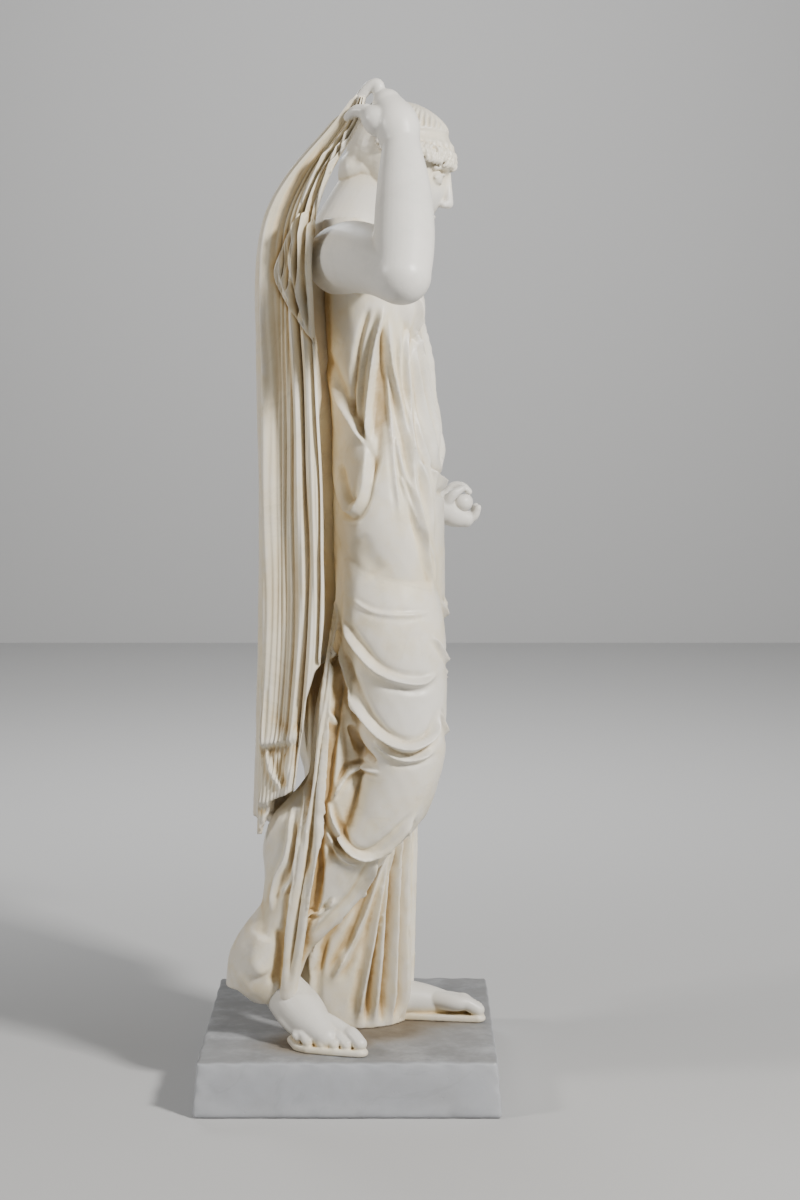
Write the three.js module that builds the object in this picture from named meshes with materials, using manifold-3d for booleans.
// Draped standing marble figure on its rectangular plinth.
//
// Millimetres, +Z up.  The origin is the middle of the plinth's underside.  +X is the way the figure
// faces, so its right side is toward -Y (called "near" below) and its left side toward +Y ("far").
// The weight is on the left leg.  The right knee is bent and its heel lifted, the right hand holds up
// the edge of a mantle beside the head, and the left hand carries a small apple at waist height.
import * as THREE from 'three';
import { mergeVertices } from 'three/addons/utils/BufferGeometryUtils.js';
import Module from 'manifold-3d';

// ------------------------------------------------------------------ driving dimensions

const PLINTH = { length: 470, depth: 500, height: 87, batter: 6, softening: 5 };
const GAP = 0.3; // play between the figure's base and the plinth's top
const BASE_Z = PLINTH.height + GAP;

// Gown over torso and standing leg: height, front x, back x, near y, far y.
const GOWN = [
  [BASE_Z, 98, -118, -74, 104],
  [180, 101, -112, -76, 106],
  [320, 104, -90, -84, 108],
  [450, 112, -62, -100, 112],
  [600, 146, -38, -128, 118],
  [760, 155, -28, -186, 122],
  [900, 154, -28, -212, 120],
  [1030, 149, -31, -190, 102],
  [1110, 135, -36, -172, 90],
  [1180, 128, -42, -176, 92],
  [1230, 116, -45, -184, 102],
  [1280, 108, -48, -192, 110],
  [1335, 82, -50, -196, 116],
  [1372, 54, -50, -162, 80],
  [1405, 34, -48, -118, 22],
];
const GOWN_SIDES = 38;
const GOWN_ROWS = 30;
const SECTION_POWER = 2.25; // 2 is an ellipse, higher is squarer

// Bent right leg under the cloth: centre x, y, z, half width along x, half width along y.
const BENT_LEG = [
  [50, -112, 950, 58, 60],
  [56, -124, 850, 76, 76],
  [68, -134, 740, 86, 84],
  [82, -144, 600, 74, 74],
  [84, -146, 525, 66, 68],
  [54, -140, 440, 62, 62],
  [6, -128, 385, 60, 58],
  [-62, -112, 308, 72, 56],
  [-122, -102, 232, 66, 56],
  [-142, -94, 166, 58, 50],
];
const LEG_SIDES = 16;
const LEG_ROWS = 14;

// Cloth that falls from the back of the bent thigh over the lifted heel, as the gown's table is.
const TRAIL = [
  [145, -104, -158, -138, -64],
  [168, -86, -186, -150, -52],
  [194, -76, -194, -156, -46],
  [240, -62, -166, -162, -42],
  [282, -50, -146, -168, -40],
  [340, -20, -136, -174, -40],
  [396, 8, -138, -178, -40],
  [440, 20, -124, -180, -42],
  [476, 26, -92, -182, -44],
  [505, 30, -66, -184, -46],
  [620, 34, -56, -188, -50],
  [760, 40, -34, -190, -60],
];
const TRAIL_SIDES = 16;
const TRAIL_ROWS = 11;

// Mantle behind the back: height, then x, y of its near front edge, near back corner, middle of the
// back, far back corner and far end.
const MANTLE = [
  [1590, 30, -248, 18, -244, 12, -236, 10, -228, 10, -222],
  [1545, 22, -244, -14, -226, -18, -196, -16, -176, -14, -164],
  [1466, -20, -236, -74, -204, -70, -156, -68, -124, -66, -104],
  [1390, -44, -224, -110, -186, -100, -84, -92, -20, -84, 40],
  [1300, -48, -216, -120, -172, -104, -50, -96, 70, -52, 146],
  [1130, -40, -206, -116, -162, -98, -40, -92, 92, -16, 182],
  [960, -34, -200, -116, -156, -90, -30, -84, 102, 60, 202],
  [745, -32, -194, -119, -148, -94, -30, -88, 102, 84, 204],
  [560, -50, -182, -127, -140, -106, -30, -92, 102, 80, 198],
  [400, -70, -170, -134, -128, -112, -30, -96, 96, 76, 190],
];
const MANTLE_THICK = 34;
// Between the hem and the shoulders the stone is solid from the mantle through to the body, but for
// a narrow slit behind the near edge: the body's axis x, y, the share of the way to it, and the
// heights where the solid stone starts and ends.
const BACKING = { axis: [30, -40], share: 0.68, slit: 0.12, from: 650, to: 1376, blend: 60 };
const MANTLE_COLUMNS = 33;
const MANTLE_ROWS = 16;
const FLUTES = 9; // hanging folds from the near edge to the far end
const FLUTE_DEPTH = 9;
const GATHER = { share: 0.6, from: 1420, blend: 170 }; // the wall thins toward the hand
// Upper edge and stepped hem of the mantle: share of the way round, height.
const MANTLE_TOP = [
  [0, 1582], [0.2, 1586], [0.36, 1526], [0.5, 1418], [0.62, 1372], [0.8, 1300], [1, 1010],
];
const MANTLE_HEM = [
  [0, 760], [0.05, 700], [0.085, 680], [0.1, 648], [0.125, 634], [0.135, 586], [0.155, 552],
  [0.175, 496], [0.235, 474], [0.27, 418], [0.4, 432], [0.56, 446], [0.62, 650], [0.74, 640],
  [0.8, 420], [0.9, 372], [1, 468],
];

// Folds of the gown on the near side as ridges (+) and grooves (-): points x, z along the fold.
const FOLDS = [
  { rise: 11, width: 15, path: [[4, 806], [30, 716], [76, 682], [126, 676], [150, 700]] },
  { rise: 12, width: 15, path: [[-16, 742], [10, 648], [48, 590], [101, 568], [144, 590]] },
  { rise: 9, width: 14, path: [[-30, 470], [-14, 436], [23, 396], [66, 412], [104, 456]] },
  { rise: 9, width: 14, path: [[-24, 488], [17, 528], [60, 516]] },
  { rise: 10, width: 13, path: [[68, 1262], [78, 1172], [98, 1066], [122, 938], [144, 830]] },
  { rise: 8, width: 12, path: [[96, 1222], [100, 1116], [131, 936]] },
  { rise: -9, width: 12, path: [[34, 1288], [14, 1166], [2, 1094], [24, 1010]] },
  { rise: 10, width: 14, path: [[-45, 1216], [-14, 1134], [23, 1064], [25, 990]] },
  { rise: -8, width: 11, path: [[-27, 1045], [1, 966], [25, 990]] },
  { rise: 9, width: 14, path: [[33, 988], [54, 900], [80, 842], [126, 822]] },
  { rise: 8, width: 13, path: [[7, 806], [48, 788], [132, 784]] },
  { rise: 9, width: 12, path: [[96, 500], [109, 426], [104, 300], [99, 130]] },
  { rise: 9, width: 12, path: [[58, 440], [31, 330], [-21, 246], [-62, 150]] },
  { rise: 9, width: 12, path: [[76, 440], [60, 335], [34, 210], [30, 90]] },
  { rise: -9, width: 9, path: [[67, 440], [46, 330], [8, 220], [-4, 90]] },
  { rise: -9, width: 9, path: [[90, 440], [78, 320], [60, 200], [54, 90]] },
];
const STANDING_PLEATS = { count: 13, depth: 5, from: 520, to: 330 };

// Head: middle, downward tilt and half sizes forward, sideways and up.
const HEAD = { centre: [84, -50, 1490], tiltDeg: 18 };
const HEAD_MASSES = [
  { at: [-10, 0, 20], half: [90, 74, 85] }, // skull with its combed hair
  { at: [26, 0, -24], half: [58, 56, 80] }, // face
  { at: [60, 0, -80], half: [20, 24, 18] }, // chin
  { at: [-68, 0, -6], half: [38, 48, 46] }, // kerchief round the back hair
];
const HAIR_BAND = { radius: 78, thick: 9, at: [-6, 0, 34], lean: -24 };
const NOSE = { path: [[74, 0, 14], [84, 0, -10], [82, 0, -24]], radius: [7, 10, 11] };

// Limbs as round bars: points x, y, z and the radius at each.
const BARS = {
  neck: {
    path: [[-6, -50, 1372], [14, -50, 1418], [44, -50, 1470]],
    radius: [64, 56, 52], sides: 12, rows: 3,
  },
  upperArm: {
    path: [[-10, -150, 1334], [12, -222, 1336], [84, -392, 1300]],
    radius: [57, 55, 45], sides: 12, rows: 5,
  },
  forearm: {
    path: [[85, -397, 1298], [88, -346, 1390], [84, -284, 1506]],
    radius: [43, 45, 29], sides: 12, rows: 5,
  },
  palm: {
    path: [[84, -284, 1500], [72, -264, 1542], [64, -250, 1574]],
    radius: [29, 38, 28], sides: 12, rows: 4,
  },
  index: {
    path: [[68, -250, 1586], [50, -246, 1603], [24, -242, 1588]],
    radius: [13, 11, 10], sides: 7, rows: 4,
  },
  middle: {
    path: [[76, -246, 1568], [58, -222, 1584], [30, -222, 1574]],
    radius: [13, 11, 9], sides: 6, rows: 4,
  },
  ring: {
    path: [[78, -242, 1548], [58, -214, 1562], [32, -218, 1556]],
    radius: [12, 10, 9], sides: 6, rows: 4,
  },
  thumb: {
    path: [[68, -268, 1530], [44, -264, 1544], [28, -252, 1562]],
    radius: [24, 22, 14], sides: 8, rows: 3,
  },
  farUpperArm: {
    path: [[-10, 96, 1318], [-22, 158, 1190], [-22, 182, 1060]],
    radius: [54, 48, 44], sides: 12, rows: 5,
  },
  farForearm: {
    path: [[-22, 182, 1052], [60, 192, 968], [158, 190, 918]],
    radius: [46, 42, 26], sides: 12, rows: 5,
  },
  farPalm: {
    path: [[154, 190, 920], [178, 190, 908], [196, 190, 902]],
    radius: [24, 24, 18], sides: 10, rows: 3,
  },
  farFinger: {
    path: [[158, 186, 936], [174, 184, 956], [194, 184, 954]],
    radius: [11, 9, 6], sides: 6, rows: 3,
  },
  farTip: {
    path: [[188, 184, 900], [206, 184, 902], [216, 186, 912]],
    radius: [13, 10, 7], sides: 6, rows: 3,
  },
  ribbon: {
    path: [[-24, -180, 700], [-54, -182, 470], [-96, -152, 166]],
    radius: [8, 13, 14], sides: 5, rows: 7,
  },
};
const BREASTS = { x: 66, z: 1262, near: -112, far: 20, half: [57, 58, 62] };
const APPLE = { centre: [192, 188, 932], radius: 17 };

// Feet: heel, instep and toe ends, the radius at each, and the way from the first to the last toe.
const FEET = {
  near: {
    heel: [-112, -104, 166], instep: [-68, -154, 128], toe: [-34, -198, 106],
    radius: [34, 37, 22], across: [90, -12],
  },
  far: {
    heel: [40, 6, 118], instep: [118, 4, 114], toe: [190, 0, 102],
    radius: [36, 28, 16], across: [6, 60],
  },
};
const TOES = 5;
const TOE = { root: 16, tip: 11, reach: 26, spread: 0.8, lift: 5 }; // radii, length, share of the width
const SOLE_THICK = 12;
const SOLE_FROM = { near: 0.5, far: 0.1 }; // share of the way from heel to toe
const SOLE_MARGIN = { ends: 30, sides: 12 }; // how far the sole runs on past heel, toe and edges

// ------------------------------------------------------------------ small helpers

const mix = (a, b, t) => a + (b - a) * t;
const clamp01 = (t) => Math.min(1, Math.max(0, t));
const smooth = (t) => clamp01(t) ** 2 * (3 - 2 * clamp01(t));

// Smooth values between the rows of a table whose first column is the key.
function readTable(table, key) {
  const rising = table[table.length - 1][0] > table[0][0];
  const rows = rising ? table : [...table].reverse();
  const k = Math.min(Math.max(key, rows[0][0]), rows[rows.length - 1][0]);
  let i = 0;
  while (i < rows.length - 2 && k > rows[i + 1][0]) i += 1;
  const slope = (j, c) => {
    const a = rows[Math.max(j - 1, 0)];
    const b = rows[Math.min(j + 1, rows.length - 1)];
    return (b[c] - a[c]) / (b[0] - a[0]);
  };
  const span = rows[i + 1][0] - rows[i][0];
  const t = (k - rows[i][0]) / span;
  return rows[i].slice(1).map((value, c) => {
    const m0 = slope(i, c + 1) * span;
    const m1 = slope(i + 1, c + 1) * span;
    const bend = m0 * t * (1 - t) ** 2 - m1 * t * t * (1 - t);
    return mix(value, rows[i + 1][c + 1], smooth(t)) + bend;
  });
}

// Straight readings between the corners of a stepped edge.
function readSteps(table, key) {
  let i = 0;
  while (i < table.length - 2 && key > table[i + 1][0]) i += 1;
  return mix(table[i][1], table[i + 1][1], (key - table[i][0]) / (table[i + 1][0] - table[i][0]));
}

// Closed body through rings of equally many points, with a fan over each end.
function ringLoft(rings) {
  const sides = rings[0].length;
  const flat = rings.flat().flatMap((p) => [p.x, p.y, p.z]);
  const faces = [];
  for (let r = 0; r + 1 < rings.length; r += 1) {
    for (let s = 0; s < sides; s += 1) {
      const a = r * sides + s;
      const b = r * sides + ((s + 1) % sides);
      faces.push(a, b, b + sides, a, b + sides, a + sides);
    }
  }
  for (const [ring, first, turn] of [[rings[0], 0, -1], [rings.at(-1), (rings.length - 1) * sides, 1]]) {
    const middle = ring.reduce((sum, p) => sum.add(p), new THREE.Vector3()).divideScalar(sides);
    const hub = flat.length / 3;
    flat.push(middle.x, middle.y, middle.z);
    for (let s = 0; s < sides; s += 1) {
      const a = first + s;
      const b = first + ((s + 1) % sides);
      faces.push(...(turn > 0 ? [a, b, hub] : [b, a, hub]));
    }
  }
  return meshFrom(flat, faces);
}

function meshFrom(flat, faces) {
  const geometry = new THREE.BufferGeometry();
  geometry.setAttribute('position', new THREE.BufferAttribute(new Float32Array(flat), 3));
  geometry.setIndex(faces);
  return geometry;
}

// ------------------------------------------------------------------ solids and joining

const wasm = await Module();
wasm.setup();
const WELD = 0.05; // corners closer than this are one

function toSolid(geometry) {
  const bare = geometry.clone();
  bare.deleteAttribute('normal');
  bare.deleteAttribute('uv');
  const merged = mergeVertices(bare, 1e-3);
  const mesh = new wasm.Mesh({
    numProp: 3,
    vertProperties: new Float32Array(merged.attributes.position.array),
    triVerts: new Uint32Array(merged.index.array),
  });
  return new wasm.Manifold(mesh);
}

// The joined solid as a mesh, with corners closer than WELD made one.
function toGeometry(solid) {
  const mesh = solid.getMesh();
  const welded = mergeVertices(meshFrom(mesh.vertProperties, Array.from(mesh.triVerts)), WELD);
  const index = welded.index.array;
  const faces = [];
  for (let i = 0; i < index.length; i += 3) {
    const [a, b, c] = [index[i], index[i + 1], index[i + 2]];
    if (a !== b && b !== c && c !== a) faces.push(a, b, c);
  }
  return meshFrom(welded.attributes.position.array, faces);
}

// ------------------------------------------------------------------ the gown

function distanceToPath(path, x, z) {
  let best = Infinity;
  for (let i = 0; i + 1 < path.length; i += 1) {
    const [ax, az] = path[i];
    const [bx, bz] = path[i + 1];
    const along = ((x - ax) * (bx - ax) + (z - az) * (bz - az)) / ((bx - ax) ** 2 + (bz - az) ** 2);
    const t = clamp01(along);
    best = Math.min(best, Math.hypot(x - mix(ax, bx, t), z - mix(az, bz, t)));
  }
  return best;
}

function foldRise(x, z) {
  const rise = (f) => f.rise * Math.exp(-((distanceToPath(f.path, x, z) / f.width) ** 2));
  return FOLDS.reduce((sum, f) => sum + rise(f), 0);
}

// Upright pleats round the standing leg, fading out over the thigh.
function pleatRise(angle, z) {
  const { count, depth, from, to } = STANDING_PLEATS;
  return depth * (1 - smooth((z - to) / (from - to))) * Math.cos(angle * count);
}

function clothSection(table, z, sides) {
  const [front, back, near, far] = readTable(table, z);
  const centre = [(front + back) / 2, (near + far) / 2];
  const half = [(front - back) / 2, (far - near) / 2];
  const ring = [];
  for (let s = 0; s < sides; s += 1) {
    const angle = (s / sides) * 2 * Math.PI;
    const [c, n] = [Math.cos(angle), Math.sin(angle)];
    const power = (Math.abs(c) / half[0]) ** SECTION_POWER + (Math.abs(n) / half[1]) ** SECTION_POWER;
    const radius = power ** (-1 / SECTION_POWER);
    const x = centre[0] + radius * c;
    const nearness = smooth(-n * 1.6);
    const grown = radius + mix(pleatRise(angle, z), foldRise(x, z), nearness);
    ring.push(new THREE.Vector3(centre[0] + grown * c, centre[1] + grown * n, z));
  }
  return ring;
}

// Upright body of cloth from a table of front, back, near and far sides.
function clothBody(table, sides, rows) {
  const [low, high] = [table[0][0], table.at(-1)[0]];
  const rings = [];
  for (let r = 0; r <= rows; r += 1) rings.push(clothSection(table, mix(low, high, r / rows), sides));
  return ringLoft(rings);
}

function bentLeg() {
  const rings = [];
  const last = BENT_LEG.length - 1;
  const table = BENT_LEG.map((row, i) => [i, ...row]);
  for (let r = LEG_ROWS; r >= 0; r -= 1) {
    const [x, y, z, halfX, halfY] = readTable(table, (r / LEG_ROWS) * last);
    const ring = [];
    for (let s = 0; s < LEG_SIDES; s += 1) {
      const angle = (s / LEG_SIDES) * 2 * Math.PI;
      const [c, n] = [Math.cos(angle), Math.sin(angle)];
      const rise = smooth(-n * 1.6) * foldRise(x + halfX * c, z);
      ring.push(new THREE.Vector3(x + (halfX + rise) * c, y + (halfY + rise) * n, z));
    }
    rings.push(ring);
  }
  return ringLoft(rings);
}

// ------------------------------------------------------------------ the mantle

function mantleLine(z) {
  const p = readTable(MANTLE, z);
  const points = [];
  for (let i = 0; i < p.length; i += 2) points.push(new THREE.Vector3(p[i], p[i + 1], 0));
  return new THREE.CatmullRomCurve3(points, false, 'centripetal');
}

// One point of the mantle's outer (+1) or inner (-1) face.
function mantlePoint(u, v, side) {
  const z = mix(readSteps(MANTLE_HEM, u), readSteps(MANTLE_TOP, u), v);
  const line = mantleLine(z);
  const at = line.getPoint(u);
  const along = line.getTangent(u);
  const gather = 1 - GATHER.share * smooth((z - GATHER.from) / GATHER.blend);
  const flute = side > 0 ? FLUTE_DEPTH * Math.cos(u * FLUTES * 2 * Math.PI) : 0;
  const offset = (side * (MANTLE_THICK / 2) + flute) * gather;
  const point = new THREE.Vector3(at.x - along.y * offset, at.y + along.x * offset, z);
  const { axis, share, slit, from, to, blend } = BACKING;
  const level = smooth((z - from) / blend) * smooth((to - z) / blend);
  const solid = side < 0 ? share * level * smooth((u - slit) / slit) : 0;
  return point.lerp(new THREE.Vector3(axis[0], axis[1], z), solid);
}

function mantle() {
  const rings = [];
  for (let c = 0; c <= MANTLE_COLUMNS; c += 1) {
    const u = c / MANTLE_COLUMNS;
    const outer = [];
    const inner = [];
    for (let r = 0; r <= MANTLE_ROWS; r += 1) {
      outer.push(mantlePoint(u, r / MANTLE_ROWS, 1));
      if (r % 2 === 0) inner.unshift(mantlePoint(u, r / MANTLE_ROWS, -1));
    }
    rings.push([...outer, ...inner]);
  }
  return ringLoft(rings);
}

// ------------------------------------------------------------------ limbs, head, feet

// A round bar along a smooth path, its ends closed by small domes: shares of the end's radius.
const DOME = { reach: 0.6, width: 0.55 };

function bar({ path, radius, sides, rows }) {
  const curve = new THREE.CatmullRomCurve3(path.map((p) => new THREE.Vector3(...p)), false, 'centripetal');
  const radii = radius.map((value, i) => [i / (radius.length - 1), value]);
  const frames = curve.computeFrenetFrames(rows, false);
  const rings = [];
  const addRing = (step, shift, share) => {
    const t = step / rows;
    const thick = readTable(radii, t)[0];
    const centre = curve.getPointAt(t).addScaledVector(frames.tangents[step], shift * thick);
    const ring = [];
    for (let s = 0; s < sides; s += 1) {
      const angle = (s / sides) * 2 * Math.PI;
      const offset = frames.normals[step].clone().multiplyScalar(Math.cos(angle) * thick * share);
      offset.addScaledVector(frames.binormals[step], Math.sin(angle) * thick * share);
      ring.push(centre.clone().add(offset));
    }
    rings.push(ring);
  };
  addRing(0, -DOME.reach, DOME.width);
  for (let step = 0; step <= rows; step += 1) addRing(step, 0, 1);
  addRing(rows, DOME.reach, DOME.width);
  return ringLoft(rings);
}

function ball(half, centre, across, up) {
  const geometry = new THREE.SphereGeometry(1, across, up);
  geometry.rotateX(Math.PI / 2);
  geometry.scale(...half);
  geometry.translate(...centre);
  return geometry;
}

function head() {
  const pieces = HEAD_MASSES.map(({ at, half }, i) => ball(half, at, i < 2 ? 16 : 10, i < 2 ? 10 : 6));
  pieces.push(bar({ ...NOSE, sides: 6, rows: 2 }));
  const band = new THREE.TorusGeometry(HAIR_BAND.radius, HAIR_BAND.thick, 5, 18);
  band.scale(1, 0.9, 1);
  band.rotateY((HAIR_BAND.lean * Math.PI) / 180);
  band.translate(...HAIR_BAND.at);
  pieces.push(band);
  for (const piece of pieces) {
    piece.rotateY((HEAD.tiltDeg * Math.PI) / 180);
    piece.translate(...HEAD.centre);
  }
  return pieces;
}

// A foot as a tapering body with a row of toes, on a thin sole.
function foot({ heel, instep, toe, radius, across }) {
  const shape = [bar({ path: [heel, instep, toe], radius, sides: 10, rows: 4 })];
  const ahead = new THREE.Vector2(toe[0] - heel[0], toe[1] - heel[1]).setLength(TOE.reach);
  for (let i = 0; i < TOES; i += 1) {
    const share = (i / (TOES - 1) - 0.5) * TOE.spread;
    const root = [toe[0] + across[0] * share, toe[1] + across[1] * share, BASE_Z + SOLE_THICK + TOE.lift];
    const tip = [root[0] + ahead.x, root[1] + ahead.y, BASE_Z + SOLE_THICK];
    shape.push(bar({ path: [root, tip], radius: [TOE.root, TOE.tip], sides: 5, rows: 1 }));
  }
  return shape;
}

function sole({ heel, toe, across }, from) {
  const start = heel.map((value, k) => mix(value, toe[k], from));
  const ahead = new THREE.Vector2(toe[0] - start[0], toe[1] - start[1]);
  const outline = new THREE.Shape();
  const reach = ahead.length() / 2 + SOLE_MARGIN.ends;
  const half = Math.hypot(across[0], across[1]) / 2 + SOLE_MARGIN.sides;
  outline.absellipse(0, 0, reach, half, 0, 2 * Math.PI);
  const shape = { depth: SOLE_THICK, bevelEnabled: false, curveSegments: 6 };
  const slab = new THREE.ExtrudeGeometry(outline, shape);
  slab.rotateZ(Math.atan2(ahead.y, ahead.x));
  slab.translate((start[0] + toe[0]) / 2, (start[1] + toe[1]) / 2, BASE_Z);
  return slab;
}

// ------------------------------------------------------------------ assembly

const ROOM = 2000; // larger than the figure: what reaches below the plinth's top is cut off

function figureGeometry() {
  const pieces = [clothBody(GOWN, GOWN_SIDES, GOWN_ROWS), clothBody(TRAIL, TRAIL_SIDES, TRAIL_ROWS)];
  pieces.push(bentLeg(), mantle(), ...head(), ...Object.values(BARS).map(bar));
  for (const y of [BREASTS.near, BREASTS.far]) {
    pieces.push(ball(BREASTS.half, [BREASTS.x, y, BREASTS.z], 10, 7));
  }
  pieces.push(ball(Array(3).fill(APPLE.radius), APPLE.centre, 10, 7));
  pieces.push(...foot(FEET.near), ...foot(FEET.far));
  pieces.push(sole(FEET.near, SOLE_FROM.near), sole(FEET.far, SOLE_FROM.far));
  let solid = toSolid(pieces[0]);
  for (const piece of pieces.slice(1)) solid = solid.add(toSolid(piece));
  const room = new THREE.BoxGeometry(ROOM, ROOM, ROOM);
  room.translate(0, 0, BASE_Z + ROOM / 2);
  return toGeometry(solid.intersect(toSolid(room)));
}

// A slab whose sides lean in a little and whose upper and lower edges are softened.
function plinthGeometry() {
  const { length, depth, height, batter, softening } = PLINTH;
  const level = (z, inset) => {
    const grow = batter * (1 - z / height) - inset;
    const [x, y] = [length / 2 + grow, depth / 2 + grow];
    return [[-x, -y], [x, -y], [x, y], [-x, y]].map(([px, py]) => new THREE.Vector3(px, py, z));
  };
  const [foot, brow] = [softening, height - softening];
  return ringLoft([level(0, softening), level(foot, 0), level(brow, 0), level(height, softening)]);
}

function marble(name, colour, roughness) {
  return new THREE.MeshStandardMaterial({ name, color: colour, roughness, metalness: 0 });
}

const group = new THREE.Group();
const figure = new THREE.Mesh(figureGeometry(), marble('figure_marble', 0xd8cfbd, 0.45));
figure.name = 'figure';
const plinth = new THREE.Mesh(plinthGeometry(), marble('plinth_marble', 0xb4b2ac, 0.6));
plinth.name = 'plinth';
group.add(figure, plinth);

export default group;
